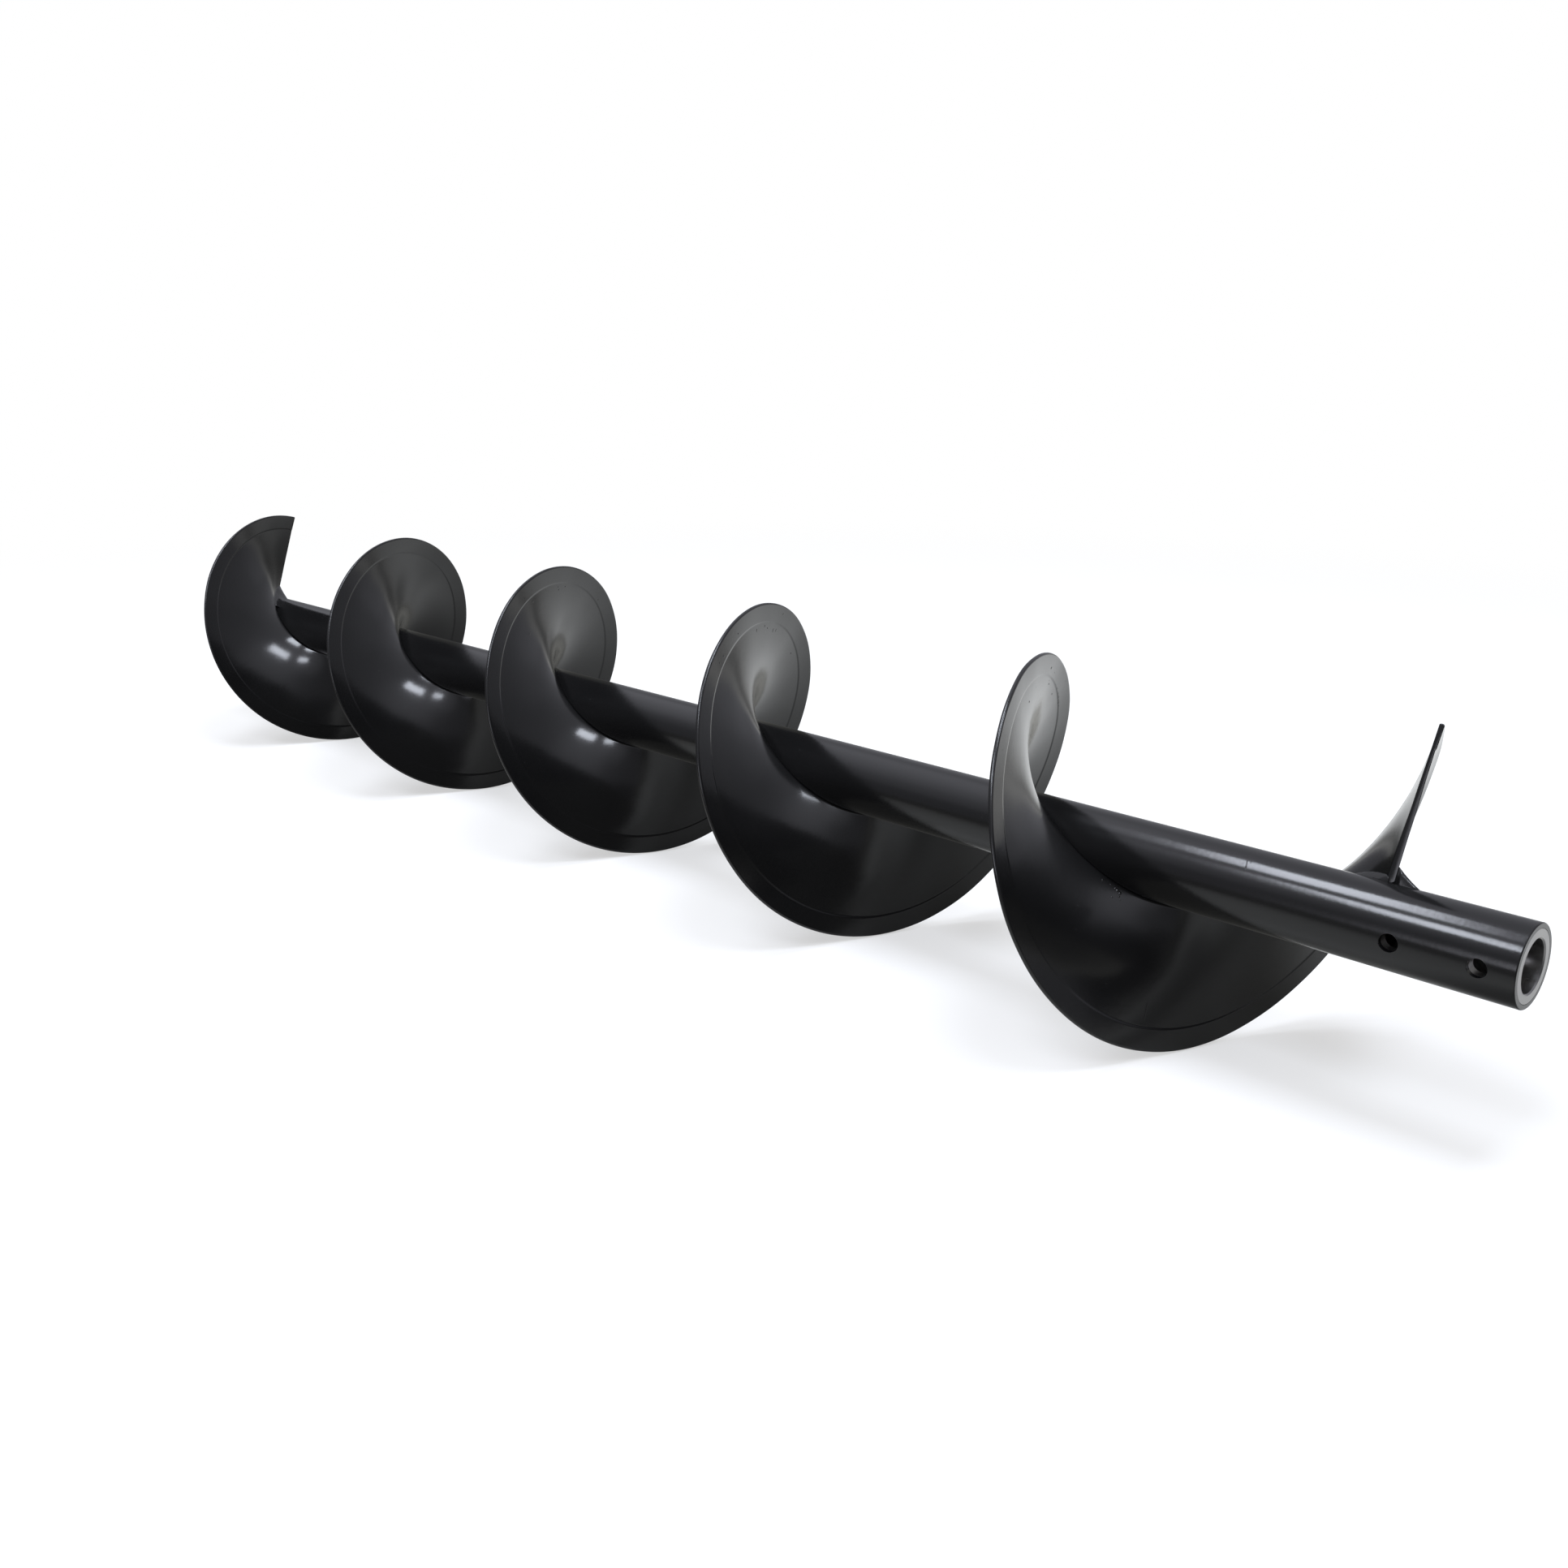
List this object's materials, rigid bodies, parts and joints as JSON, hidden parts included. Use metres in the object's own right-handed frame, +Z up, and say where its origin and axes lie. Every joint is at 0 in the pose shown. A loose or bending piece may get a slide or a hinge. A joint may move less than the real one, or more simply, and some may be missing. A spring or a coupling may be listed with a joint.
{
  "type": "screw conveyor auger",
  "caption": "Right-hand helicoid conveyor screw: a gloss black flight on a round steel pipe, with bored and cross-drilled bushes inside the pipe's ends.",
  "frame": {"origin": "centre of the drive-end mouth, on the screw's axis", "axes": "+X along the screw's axis from the drive end to the tail end, +Z up"},
  "size_m": [1.84, 0.292, 0.292],
  "materials": {
    "black_paint": "gloss black enamel on steel",
    "bush_steel": "machined bore, oiled"
  },
  "bodies": {
    "root": {"pipe": "black_paint", "flighting": "black_paint", "drive_collar": "bush_steel", "tail_collar": "bush_steel"}
  },
  "joints": []
}
